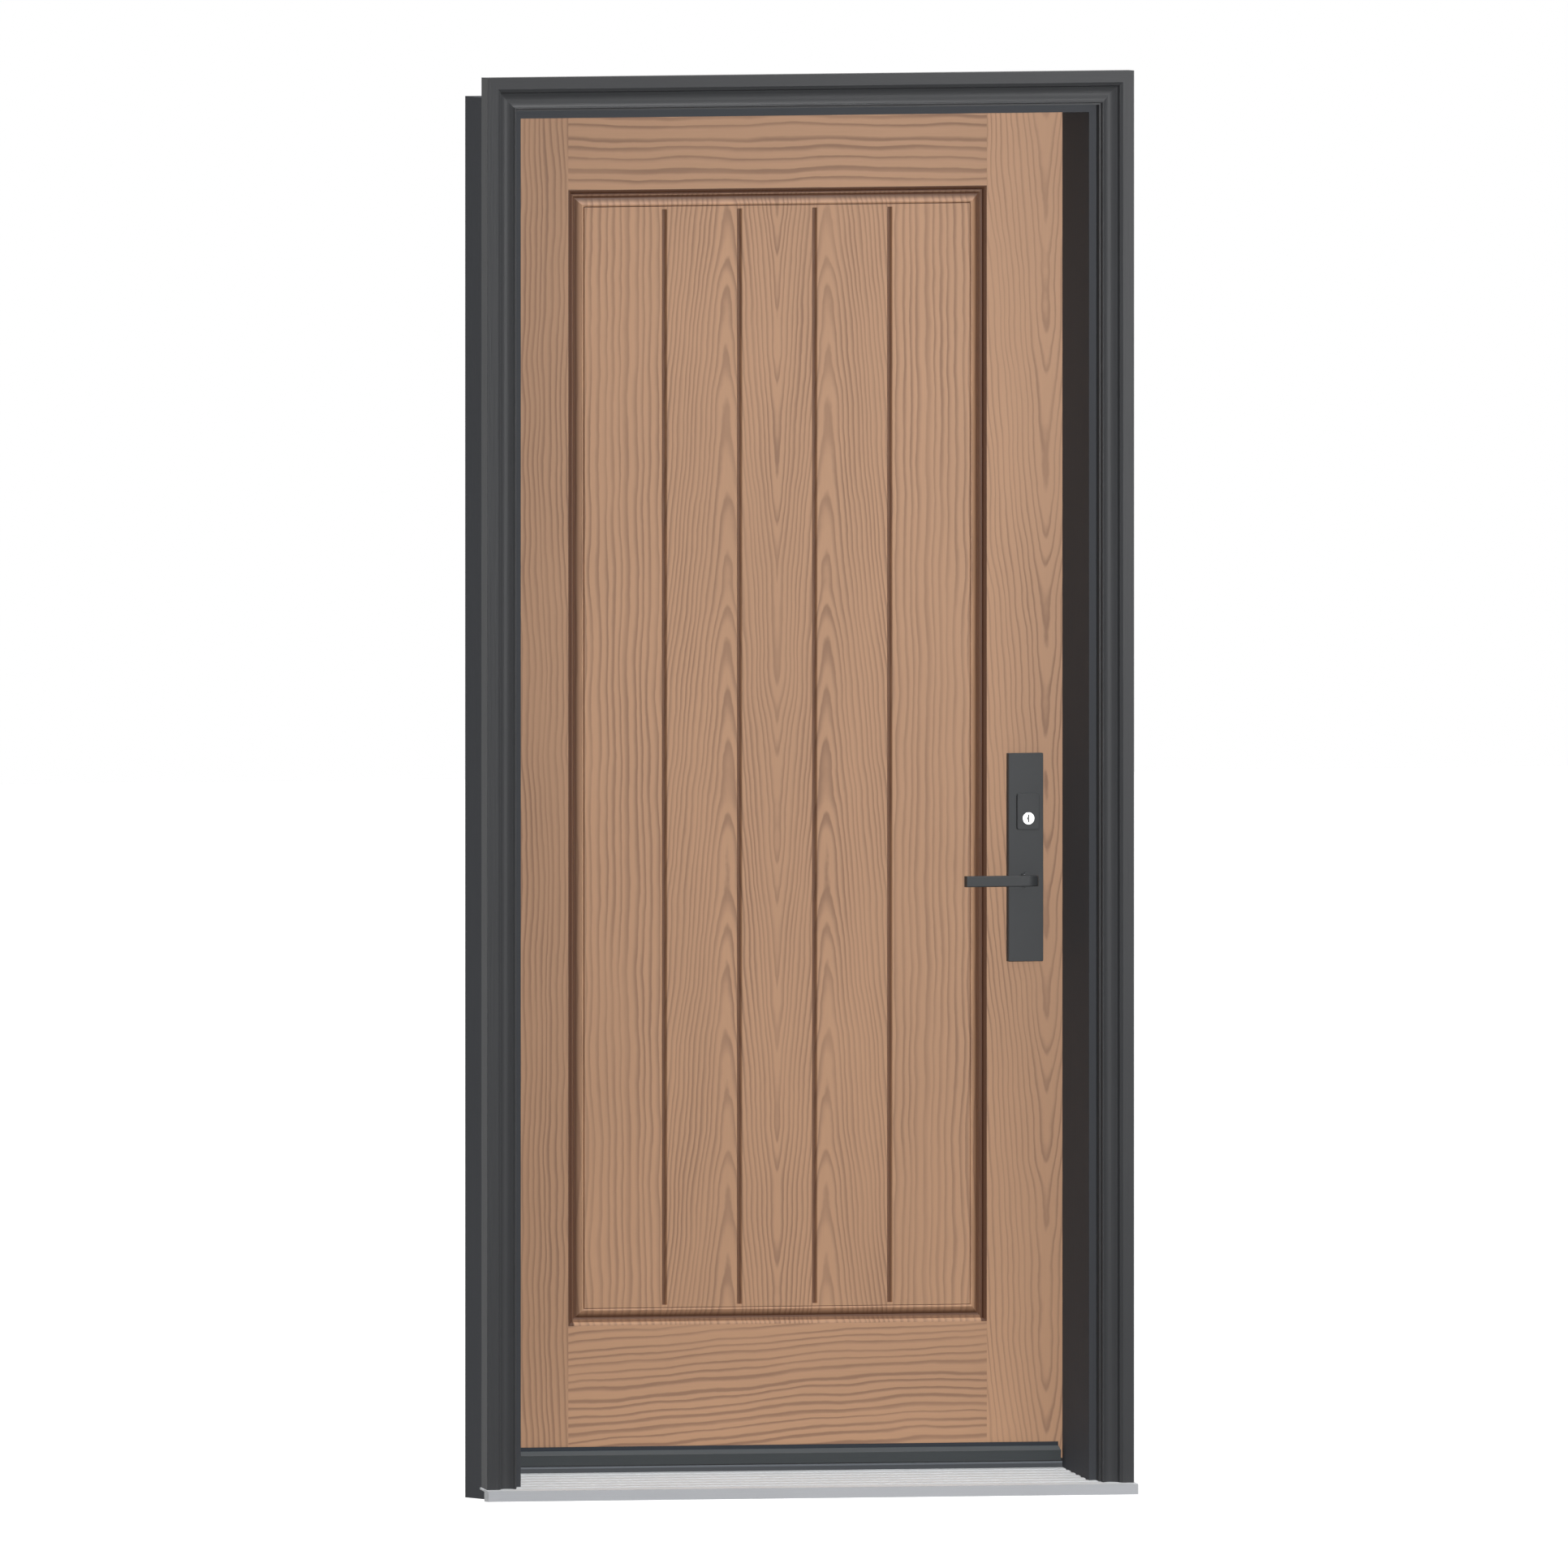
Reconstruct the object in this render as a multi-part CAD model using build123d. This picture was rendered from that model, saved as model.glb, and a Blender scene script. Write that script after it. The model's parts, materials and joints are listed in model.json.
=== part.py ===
"""Entrance door: an inswing plank-panel slab hung in a rebated frame with brickmould and sill.

+Z is up and -Y is the weather side. The origin is on the sill's underside, at mid-width, in the
plane where the back of the brickmould meets the outer edge of the jambs. Sizes are millimetres.
"""
import os

from build123d import *

# Slab
slab_width = 905.0
slab_height = 1999.1
slab_thickness = 44.5
slab_gap = 5.0             # running gap at both jambs and at the head
slab_lift = 5.4            # underside of the slab above the sill riser
stile_width = 125.3
top_rail_height = 119.2
bottom_rail_height = 202.9

# Plank panel, the same on both faces
panel_recess = 9.0         # slab face to the panel's core
field_setback = 2.0        # slab face to the panel's raised field
groove_count = 4
groove_pitch = 117.4
groove_width = 8.4
groove_floor_width = 3.4
groove_depth = 5.0
groove_end_margin = 3.8    # end of a groove to the end of the field

# Panel moulding, widths counted from the edge of the stile or rail
moulding_width = 24.9
moulding_quirk = 1.0       # open line between the moulding and the field
ovolo_width = 5.5
ovolo_drop = 4.6
fillet_step = 1.0
fillet_width = 3.0
cove_width = 4.0
cove_depth = 8.0
crest_width = 3.2
crest_setback = 2.0

# Jambs and head
jamb_depth = 166.7
jamb_thickness = 28.6      # through the stop
stop_projection = 13.2
rebate_depth = 47.6

# Brickmould, widths counted from the outer edge and drops from the front face
brickmould_width = 50.2
brickmould_thickness = 25.4
brickmould_reveal = 11.3   # jamb edge left bare inside the brickmould
band_width = 17.2
ease_width = 4.6
ease_drop = 2.2
step_width = 1.7
hollow_start_drop = 6.5
hollow_width = 20.5
hollow_drop = 9.6
hollow_end_drop = 7.0
bead_width = 3.8
bead_drop = 5.2
kerf_drop = 12.0

# Sill
nose_projection = 12.0     # beyond the face of the brickmould
nose_height = 15.5
nose_depth = 17.7
horn_overhang = 2.4        # beyond the outer edge of the brickmould
deck_rise = 20.5
deck_thickness = 3.0
deck_setback = 5.2         # inner edge of the deck in front of the slab face
flute_pitch = 22.0
flute_width = 12.0
flute_depth = 1.2
flute_margin = 13.0        # first flute to the inner edge of the deck
flute_count = 6
riser_height = 8.5         # above the inner edge of the deck
riser_slope = 10.5         # run of its sloped front

# Seals
seal_clearance = 0.3       # seal to the closed slab
seal_margin = 1.0          # seal to the edges of the stop
sweep_clearance = 0.6      # door sweep to the riser
sweep_width = 36.0

# Drip cap on the foot of the slab
drip_projection = 14.0
drip_overlap = 3.0         # below the underside of the slab
drip_face_height = 14.8
drip_slope_height = 6.7
drip_flange_height = 5.7
drip_flange_thickness = 1.5
drip_end_gap = 6.0

# Butt hinges
hinge_height = 101.6
hinge_top_offset = 228.9   # top of the slab to the middle of the top hinge
hinge_bottom_offset = 280.1
hinge_leaf_depth = 36.0
hinge_leaf_thickness = 2.5
knuckle_count = 5
knuckle_radius = 6.5
knuckle_gap = 0.3
knuckle_proud = 0.55       # barrel clear of the inner face of the slab
pin_radius = 3.5
pin_clearance = 0.05
pin_head_radius = 5.2
pin_head_height = 2.5

# Lock and handle set, heights counted from the underside of the slab
lock_backset = 67.5
lever_height = 854.0
cylinder_spacing = 91.1    # key cylinder above the lever
cylinder_offset = 2.0      # key cylinder nearer the lock edge than the lever
plate_width = 54.3
plate_height = 307.8
plate_thickness = 10.0
plate_drop = 120.3         # lever axis to the foot of the plate
plate_corner = 1.6
plate_chamfer = 0.8
housing_width = 34.6
housing_height = 53.3
housing_thickness = 5.0
housing_rise = 9.9         # key axis to the middle of the housing
housing_corner = 3.6
housing_round = 0.8
plug_radius = 8.9
plug_proud = 0.8
plug_depth = 32.0
plug_clearance = 0.08
keyway_height = 11.5
keyway_width = 1.9
keyway_depth = 7.0
keyway_ward_radius = 1.6
thumbturn_radius = 12.0
thumbturn_base = 4.0
thumbturn_width = 8.0
thumbturn_height = 32.0
thumbturn_reach = 18.0
thumbturn_round = 1.5
turn_clearance = 0.3       # turning face to the plate it turns on
cylinder_bore = 22.0

# Levers
lever_length = 109.6       # axis to tip
lever_reach = 60.0         # slab face to the outer face of the bar
lever_bar_height = 16.2
lever_bar_thickness = 12.6
lever_neck_width = 18.2
lever_bend_radius = 24.0
lever_inner_radius = 9.0
lever_edge_round = 1.6
collar_radius = 11.5
collar_height = 7.0
shank_radius = 9.0
shank_clearance = 0.1
spindle_size = 8.0
spindle_bore = 18.0

# Lock edge
faceplate_height = 203.0
faceplate_width = 25.0
faceplate_thickness = 2.5
latch_height = 18.0
latch_width = 12.0
deadbolt_height = 26.0
deadbolt_width = 14.0
bolt_length = 22.0
bolt_clearance = 0.3
strike_width = 32.0
strike_thickness = 1.6
strike_hole_margin = 1.5
strike_pocket_depth = 11.0

# Planes and levels that the pieces share
slab_half = slab_width / 2
slab_back = jamb_depth
slab_front = slab_back - slab_thickness
slab_middle = (slab_front + slab_back) / 2
rebate_half = slab_half + slab_gap
stop_half = rebate_half - stop_projection
frame_half = stop_half + jamb_thickness
stop_back = jamb_depth - rebate_depth
mould_inner_half = stop_half + brickmould_reveal
mould_outer_half = mould_inner_half + brickmould_width
deck_top = nose_height + deck_rise
riser_top = deck_top + riser_height
slab_bottom = riser_top + slab_lift
slab_top = slab_bottom + slab_height
head_rebate = slab_top + slab_gap
head_stop = head_rebate - stop_projection
head_top = head_stop + jamb_thickness
mould_inner_top = head_stop + brickmould_reveal
mould_outer_top = mould_inner_top + brickmould_width
opening_half = slab_half - stile_width
opening_bottom = slab_bottom + bottom_rail_height
opening_top = slab_top - top_rail_height
field_margin = moulding_width + moulding_quirk
nose_front = -brickmould_thickness - nose_projection
nose_back = nose_front + nose_depth
deck_back = slab_front - deck_setback
horn_half = mould_outer_half + horn_overhang
hinge_x = -(slab_half + rebate_half) / 2
hinge_y = slab_back + knuckle_radius + knuckle_proud
hinge_levels = {
    "top": slab_top - hinge_top_offset,
    "middle": (slab_top - hinge_top_offset + slab_bottom + hinge_bottom_offset) / 2,
    "bottom": slab_bottom + hinge_bottom_offset,
}
lock_x = slab_half - lock_backset
key_x = lock_x + cylinder_offset
lever_z = slab_bottom + lever_height
key_z = lever_z + cylinder_spacing
faceplate_z = (lever_z + key_z) / 2
bolts = ((lever_z, latch_height, latch_width), (key_z, deadbolt_height, deadbolt_width))

# The two faces of the slab: where each lies along Y, and the way out of the door from it
OUTSIDE = (slab_front, -1)
INSIDE = (slab_back, 1)


def block(x, y, z):
    """Box between pairs of limits along X, Y and Z."""
    size = [high - low for low, high in (x, y, z)]
    middle = [(high + low) / 2 for low, high in (x, y, z)]
    return Pos(*middle) * Box(*size)


def rod(x, z, radius, y):
    """Cylinder along Y between two limits."""
    return Pos(x, (y[0] + y[1]) / 2, z) * Rot(X=90) * Cylinder(radius, y[1] - y[0])


def outline(start, *legs):
    """Closed face. A leg is the next corner, or a pair: a point on an arc and the arc's end."""
    edges = []
    here = start
    for leg in legs + (start,):
        if isinstance(leg[0], tuple):
            edges.append(ThreePointArc(here, *leg))
            here = leg[1]
        else:
            edges.append(Line(here, leg))
            here = leg
    return make_face(edges)


def run_section(section, origin, across, out, run):
    """Section drawn in (across, out), set at origin and pushed along the vector run."""
    across, out, run = Vector(*across), Vector(*out), Vector(*run)
    seat = Plane(origin=origin, x_dir=across, z_dir=across.cross(out))
    return extrude(seat.location * section, amount=run.length, dir=run)


def along_x(section, half):
    """Section drawn in (Y, Z), pushed from -half to +half."""
    return run_section(section, (-half, 0, 0), (0, 1, 0), (0, 0, 1), (2 * half, 0, 0))


def upright(section, z):
    """Section drawn in (X, Y), pushed up between two levels."""
    return run_section(section, (0, 0, z[0]), (1, 0, 0), (0, 1, 0), (0, 0, z[1] - z[0]))


def mitred(shape, corners, y):
    """What of shape lies inside the corners, drawn in (X, Z), between two limits along Y."""
    face = outline(*corners)
    keep = run_section(face, (0, y[1], 0), (1, 0, 0), (0, 0, 1), (0, y[0] - y[1], 0))
    return shape & keep


def both_sides(half, limit, y, z):
    """The pair of blocks that lie between half and limit either side of the middle."""
    return block((half, limit), y, z) + block((-limit, -half), y, z)


def side_jamb(side):
    """Rebated upright: side is -1 at the hinges and 1 at the strike."""
    section = outline(
        (side * stop_half, 0), (side * frame_half, 0), (side * frame_half, jamb_depth),
        (side * rebate_half, jamb_depth), (side * rebate_half, stop_back), (side * stop_half, stop_back),
    )
    front_top = block((-frame_half, frame_half), (0, stop_back), (head_stop, head_rebate))
    return upright(section, (0, head_rebate)) - front_top


def hinge_mortises(x):
    """Recesses of the three leaves in the edge that lies between two limits along X."""
    cuts = [block(x, (slab_back - hinge_leaf_depth, slab_back), leaf_span(z)) for z in hinge_levels.values()]
    return cuts[0] + cuts[1] + cuts[2]


def leaf_span(z):
    """Foot and head of a hinge leaf whose middle is at z."""
    return (z - hinge_height / 2, z + hinge_height / 2)


def leaf_x(side):
    """Limits along X of a leaf: side is -1 on the jamb and 1 on the slab."""
    near = hinge_x + side * slab_gap / 2
    return tuple(sorted((near, near + side * hinge_leaf_thickness)))


def hinge_leaf(side, z, knuckles):
    """Leaf let into its edge, with its own knuckles of the barrel."""
    leaf = block(leaf_x(side), (slab_back - hinge_leaf_depth, slab_back), leaf_span(z))
    pitch = hinge_height / knuckle_count
    foot = leaf_span(z)[0]
    for index in knuckles:
        low = foot + index * pitch + knuckle_gap / 2
        high = low + pitch - knuckle_gap
        leaf += block(leaf_x(side), (slab_back, hinge_y), (low, high))
        leaf += Pos(hinge_x, hinge_y, (low + high) / 2) * Cylinder(knuckle_radius, high - low)
    return leaf - Pos(hinge_x, hinge_y, z) * Cylinder(pin_radius + pin_clearance, hinge_height)


def hinge_pin(z):
    """Pin that hangs by its head on the top knuckle."""
    low, high = leaf_span(z)
    seat = high - knuckle_gap / 2
    shaft = Pos(hinge_x, hinge_y, (low + seat) / 2) * Cylinder(pin_radius, seat - low)
    head = Cylinder(pin_head_radius, pin_head_height)
    return shaft + Pos(hinge_x, hinge_y, seat + pin_head_height / 2) * head


def strike_jamb():
    """Upright on the lock side, let out for the strike plate and the bolts behind it."""
    jamb = side_jamb(1) - strike_blank()
    for z, height, width in bolts:
        jamb -= strike_hole(z, height, width, strike_pocket_depth)
    return jamb


def strike_blank():
    """The strike plate before its holes."""
    return block(
        (rebate_half, rebate_half + strike_thickness),
        (slab_middle - strike_width / 2, slab_middle + strike_width / 2),
        (faceplate_z - faceplate_height / 2, faceplate_z + faceplate_height / 2),
    )


def strike_hole(z, height, width, depth):
    """Opening in the strike for one bolt."""
    return block(
        (rebate_half, rebate_half + depth),
        (slab_middle - width / 2 - strike_hole_margin, slab_middle + width / 2 + strike_hole_margin),
        (z - height / 2 - strike_hole_margin, z + height / 2 + strike_hole_margin),
    )


def strike_plate():
    """Plate in the lock side's rebate."""
    plate = strike_blank()
    for z, height, width in bolts:
        plate -= strike_hole(z, height, width, strike_thickness)
    return plate


def head_jamb():
    """Rebated head, full width over the uprights."""
    section = outline(
        (0, head_stop), (stop_back, head_stop), (stop_back, head_rebate),
        (jamb_depth, head_rebate), (jamb_depth, head_top), (0, head_top),
    )
    return along_x(section, frame_half)


def brickmould_section():
    """Band, eased edge, step, hollow, bead and kerf, drawn from the outer edge and the back."""
    face = brickmould_thickness
    ease_end = band_width + ease_width
    hollow_start = ease_end + step_width
    hollow_end = hollow_start + hollow_width
    bead_end = hollow_end + bead_width
    return outline(
        (0, 0), (0, face), (band_width, face), (ease_end, face - ease_drop),
        (hollow_start, face - hollow_start_drop),
        (((hollow_start + hollow_end) / 2, face - hollow_drop), (hollow_end, face - hollow_end_drop)),
        (((hollow_end + bead_end) / 2, face - bead_drop), (bead_end, face - hollow_end_drop)),
        (bead_end, face - kerf_drop), (brickmould_width, face - kerf_drop), (brickmould_width, 0),
    )


def deck_level(y):
    """Height of the top of the deck at a depth."""
    return nose_height + (y - nose_front) * deck_rise / (deck_back - nose_front)


def under_deck():
    """All that lies under the slope of the deck, right through the wall."""
    section = outline(
        (nose_front, 0), (deck_back, 0), (deck_back, deck_top), (nose_front, nose_height),
    )
    return along_x(section, horn_half)


def brickmould_leg(side):
    """Upright moulding that stands on the horn of the sill and is mitred at the head."""
    outer, inner = side * mould_outer_half, side * mould_inner_half
    leg = run_section(
        brickmould_section(), (outer, 0, 0), (-side, 0, 0), (0, -1, 0), (0, 0, mould_outer_top)
    )
    corners = ((outer, 0), (inner, 0), (inner, mould_inner_top), (outer, mould_outer_top))
    return mitred(leg, corners, (-brickmould_thickness, 0)) - under_deck()


def brickmould_head():
    """Moulding across the head, mitred at both ends."""
    head = run_section(
        brickmould_section(), (-mould_outer_half, 0, mould_outer_top),
        (0, 0, -1), (0, -1, 0), (2 * mould_outer_half, 0, 0),
    )
    corners = (
        (-mould_outer_half, mould_outer_top), (mould_outer_half, mould_outer_top),
        (mould_inner_half, mould_inner_top), (-mould_inner_half, mould_inner_top),
    )
    return mitred(head, corners, (-brickmould_thickness, 0))


def beside_sill(z):
    """The room that the two uprights take up beside the sill."""
    front = both_sides(stop_half, horn_half, (0, stop_back), z)
    return front + both_sides(rebate_half, horn_half, (stop_back, jamb_depth), z)


def sill_tread():
    """Fluted deck with a square nose, and horns under the brickmould."""
    corners = [
        (nose_front, 0), (nose_back, 0), (nose_back, deck_level(nose_back) - deck_thickness),
        (deck_back, deck_top - deck_thickness), (deck_back, deck_top),
    ]
    for index in range(flute_count):
        back = deck_back - flute_margin - index * flute_pitch
        front = back - flute_width
        corners += [
            (back, deck_level(back)), (back, deck_level(back) - flute_depth),
            (front, deck_level(front) - flute_depth), (front, deck_level(front)),
        ]
    corners.append((nose_front, nose_height))
    return along_x(outline(*corners), horn_half) - beside_sill((0, deck_top))


def sill_base():
    """Core of the sill under the deck and the riser."""
    bed = deck_top - deck_thickness
    section = outline(
        (nose_back, 0), (jamb_depth, 0), (jamb_depth, bed), (deck_back, bed),
        (nose_back, deck_level(nose_back) - deck_thickness),
    )
    return along_x(section, frame_half) - beside_sill((0, deck_top))


def sill_riser():
    """Bar under the slab, with a sloped front."""
    bed = deck_top - deck_thickness
    section = outline(
        (deck_back, bed), (jamb_depth, bed), (jamb_depth, riser_top),
        (deck_back + riser_slope, riser_top), (deck_back, deck_top),
    )
    return along_x(section, rebate_half) - beside_sill((bed, riser_top))


def side_seal(side):
    """Seal on the back of one upright's stop."""
    limits = sorted((side * (stop_half + seal_margin), side * (rebate_half - seal_margin)))
    return block(limits, (stop_back, slab_front - seal_clearance), (riser_top, head_rebate - seal_margin))


def head_seal():
    """Seal on the back of the head's stop, between the side seals."""
    half = stop_half + seal_margin
    levels = (head_stop + seal_margin, head_rebate - seal_margin)
    return block((-half, half), (stop_back, slab_front - seal_clearance), levels)


def hinge_stile():
    """Full-height stile with the mortises of the hinges."""
    stile = block((-slab_half, -opening_half), (slab_front, slab_back), (slab_bottom, slab_top))
    return stile - hinge_mortises(leaf_x(1))


def lock_stile():
    """Full-height stile, bored for the handle set and let out for the faceplate and bolts."""
    stile = block((opening_half, slab_half), (slab_front, slab_back), (slab_bottom, slab_top))
    stile -= faceplate_blank()
    for z, height, width in bolts:
        stile -= bolt(z, height, width, bolt_clearance)
    through = (slab_front, slab_back)
    stile -= rod(lock_x, lever_z, spindle_bore / 2, through)
    return stile - rod(key_x, key_z, cylinder_bore / 2, through)


def rail(z):
    """Rail between the stiles."""
    return block((-opening_half, opening_half), (slab_front, slab_back), z)


def groove(x, side):
    """Routed line between two planks, stopped at both ends."""
    face, out = side
    top = face - out * field_setback
    floor = top - out * groove_depth
    section = outline(
        (x - groove_width / 2, top), (x + groove_width / 2, top),
        (x + groove_floor_width / 2, floor), (x - groove_floor_width / 2, floor),
    )
    margin = field_margin + groove_end_margin
    return upright(section, (opening_bottom + margin, opening_top - margin))


def plank_panel():
    """Core between the stiles and rails, with a raised and grooved field on each face."""
    core = (slab_front + panel_recess, slab_back - panel_recess)
    panel = block((-opening_half, opening_half), core, (opening_bottom, opening_top))
    panel += block(
        (field_margin - opening_half, opening_half - field_margin),
        (slab_front + field_setback, slab_back - field_setback),
        (opening_bottom + field_margin, opening_top - field_margin),
    )
    for side in (OUTSIDE, INSIDE):
        for index in range(groove_count):
            panel -= groove((index - (groove_count - 1) / 2) * groove_pitch, side)
    return panel


def moulding_section():
    """Ovolo, fillet, hollow, slope and crest, drawn as (width, depth below the slab face)."""
    fillet_top = ovolo_drop + fillet_step
    fillet_end = ovolo_width + fillet_width
    hollow_end = fillet_end + cove_width
    crest = moulding_width - crest_width
    return outline(
        (0, 0),
        ((ovolo_width * 0.6, ovolo_drop * 0.2), (ovolo_width, ovolo_drop)),
        (ovolo_width, fillet_top),
        (fillet_end, fillet_top),
        ((fillet_end + cove_width * 0.3, cove_depth - 0.9), (hollow_end, cove_depth)),
        ((hollow_end + (crest - hollow_end) * 0.62, crest_setback + 2.4), (crest, crest_setback)),
        ((crest + crest_width * 0.6, crest_setback + 0.1), (moulding_width, crest_setback + 1.2)),
        (moulding_width, panel_recess),
        (0, panel_recess),
    )


def panel_mouldings(side):
    """The four mitred mouldings round one face of the panel, by the edge that each lies on."""
    face, out = side
    low, high, half, width = opening_bottom, opening_top, opening_half, moulding_width
    inner = half - width
    height, span = high - low, 2 * half
    runs = {
        "hinge_side": ((-half, face, low), (1, 0, 0), (0, 0, height)),
        "lock_side": ((half, face, low), (-1, 0, 0), (0, 0, height)),
        "bottom": ((-half, face, low), (0, 0, 1), (span, 0, 0)),
        "top": ((-half, face, high), (0, 0, -1), (span, 0, 0)),
    }
    corners = {
        "hinge_side": ((-half, low), (-inner, low + width), (-inner, high - width), (-half, high)),
        "lock_side": ((half, low), (inner, low + width), (inner, high - width), (half, high)),
        "bottom": ((-half, low), (half, low), (inner, low + width), (-inner, low + width)),
        "top": ((-half, high), (half, high), (inner, high - width), (-inner, high - width)),
    }
    depth = sorted((face, face - out * panel_recess))
    mouldings = {}
    for edge, (origin, across, run) in runs.items():
        strip = run_section(moulding_section(), origin, across, (0, -out, 0), run)
        mouldings[edge] = mitred(strip, corners[edge], depth)
    return mouldings


def drip_cap():
    """Weather bar on the foot of the slab, with a sloped top under a thin flange."""
    front = slab_front - drip_projection
    flange = slab_front - drip_flange_thickness
    foot = slab_bottom - drip_overlap
    shoulder = foot + drip_face_height
    slope_top = shoulder + drip_slope_height
    section = outline(
        (slab_front, foot), (front, foot), (front, shoulder), (flange, slope_top),
        (flange, slope_top + drip_flange_height), (slab_front, slope_top + drip_flange_height),
    )
    return along_x(section, stop_half - drip_end_gap)


def door_sweep():
    """Flexible strip under the slab that closes the gap to the riser."""
    return block(
        (-slab_half, slab_half), (slab_front, slab_front + sweep_width),
        (riser_top + sweep_clearance, slab_bottom),
    )


def standing_off(side, near, far):
    """Limits along Y of what stands between two distances from a face of the slab."""
    face, out = side
    return tuple(sorted((face + out * near, face + out * far)))


def rounded_plate(side, x, z, width, height, near, far, corner):
    """Upright plate with round corners between two distances from a face of the slab."""
    y = standing_off(side, near, far)
    plate = block((x - width / 2, x + width / 2), y, (z - height / 2, z + height / 2))
    return fillet(plate.edges().filter_by(Axis.Y), corner)


def outer_edges(shape, side):
    """Edges round the face of a plate that looks away from the slab."""
    face, out = side
    return (shape.faces().sort_by(Axis.Y)[-1 if out > 0 else 0]).edges()


def handle_plate(side):
    """Long plate that carries the lever and the lock cylinder on one face."""
    z = lever_z - plate_drop + plate_height / 2
    plate = rounded_plate(side, lock_x, z, plate_width, plate_height, 0, plate_thickness, plate_corner)
    plate = chamfer(outer_edges(plate, side), plate_chamfer)
    y = standing_off(side, 0, plate_thickness)
    plate -= rod(lock_x, lever_z, shank_radius + shank_clearance, y)
    return plate - rod(key_x, key_z, plug_radius + plug_clearance, y)


def cylinder_housing():
    """Raised block round the key plug."""
    far = plate_thickness + housing_thickness
    housing = rounded_plate(
        OUTSIDE, key_x, key_z + housing_rise, housing_width, housing_height,
        plate_thickness, far, housing_corner,
    )
    housing = fillet(outer_edges(housing, OUTSIDE), housing_round)
    through = standing_off(OUTSIDE, plate_thickness, far)
    return housing - rod(key_x, key_z, plug_radius + plug_clearance, through)


def key_plug():
    """Plug with an upright keyway."""
    proud = plate_thickness + housing_thickness + plug_proud
    plug = rod(key_x, key_z, plug_radius, standing_off(OUTSIDE, proud - plug_depth, proud))
    slot = standing_off(OUTSIDE, proud - keyway_depth, proud)
    half_width, half_height = keyway_width / 2, keyway_height / 2
    plug -= block((key_x - half_width, key_x + half_width), slot, (key_z - half_height, key_z + half_height))
    return plug - rod(key_x - half_width, key_z, keyway_ward_radius, slot)


def thumbturn():
    """Turn piece on the inside, on the axis of the key plug."""
    foot = plate_thickness + turn_clearance
    turn = rod(key_x, key_z, thumbturn_radius, standing_off(INSIDE, foot, foot + thumbturn_base))
    grip = block(
        (key_x - thumbturn_width / 2, key_x + thumbturn_width / 2),
        standing_off(INSIDE, foot + thumbturn_base, foot + thumbturn_reach),
        (key_z - thumbturn_height / 2, key_z + thumbturn_height / 2),
    )
    grip = fillet(grip.edges(), thumbturn_round)
    core = rod(key_x, key_z, thumbturn_width / 2, standing_off(INSIDE, foot, foot + thumbturn_base * 2))
    shank = rod(key_x, key_z, plug_radius, standing_off(INSIDE, 0, foot))
    return turn + grip + core + shank


def lever(side):
    """Flat bar that bends out of a round collar, with its shank through the plate."""
    face, out = side
    half_neck = lever_neck_width / 2
    tip = lock_x - lever_length
    bar_front = face + out * lever_reach
    bar_back = face + out * (lever_reach - lever_bar_thickness)
    foot = face + out * (plate_thickness + turn_clearance)
    outer, inner = lock_x + half_neck, lock_x - half_neck
    bend, crook = lever_bend_radius, lever_inner_radius
    section = outline(
        (inner, foot), (outer, foot), (outer, bar_front - out * bend),
        ((outer - bend * 0.293, bar_front - out * bend * 0.293), (outer - bend, bar_front)),
        (tip, bar_front), (tip, bar_back), (inner - crook, bar_back),
        ((inner - crook * 0.293, bar_back - out * crook * 0.293), (inner, bar_back - out * crook)),
    )
    bar = upright(section, (lever_z - lever_bar_height / 2, lever_z + lever_bar_height / 2))
    bar = fillet(bar.edges().filter_by(GeomType.LINE).filter_by(Axis.X), lever_edge_round)
    near = plate_thickness + turn_clearance
    bar += rod(lock_x, lever_z, collar_radius, standing_off(side, near, near + collar_height))
    return bar + rod(lock_x, lever_z, shank_radius, standing_off(side, shank_clearance, near))


def outside_lever():
    """Lever with the spindle that drives its fellow on the inside."""
    spindle = block(
        (lock_x - spindle_size / 2, lock_x + spindle_size / 2),
        (slab_front - plate_thickness, slab_back + shank_clearance),
        (lever_z - spindle_size / 2, lever_z + spindle_size / 2),
    )
    return lever(OUTSIDE) + spindle


def faceplate_blank():
    """The faceplate before its holes."""
    return block(
        (slab_half - faceplate_thickness, slab_half),
        (slab_middle - faceplate_width / 2, slab_middle + faceplate_width / 2),
        (faceplate_z - faceplate_height / 2, faceplate_z + faceplate_height / 2),
    )


def bolt(z, height, width, margin):
    """One bolt drawn back flush with the lock edge, or its hole when given a margin."""
    return block(
        (slab_half - bolt_length, slab_half),
        (slab_middle - width / 2 - margin, slab_middle + width / 2 + margin),
        (z - height / 2 - margin, z + height / 2 + margin),
    )


def lock_faceplate():
    """Plate of the lock in the slab's edge."""
    plate = faceplate_blank()
    for z, height, width in bolts:
        plate -= bolt(z, height, width, bolt_clearance)
    return plate


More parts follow.
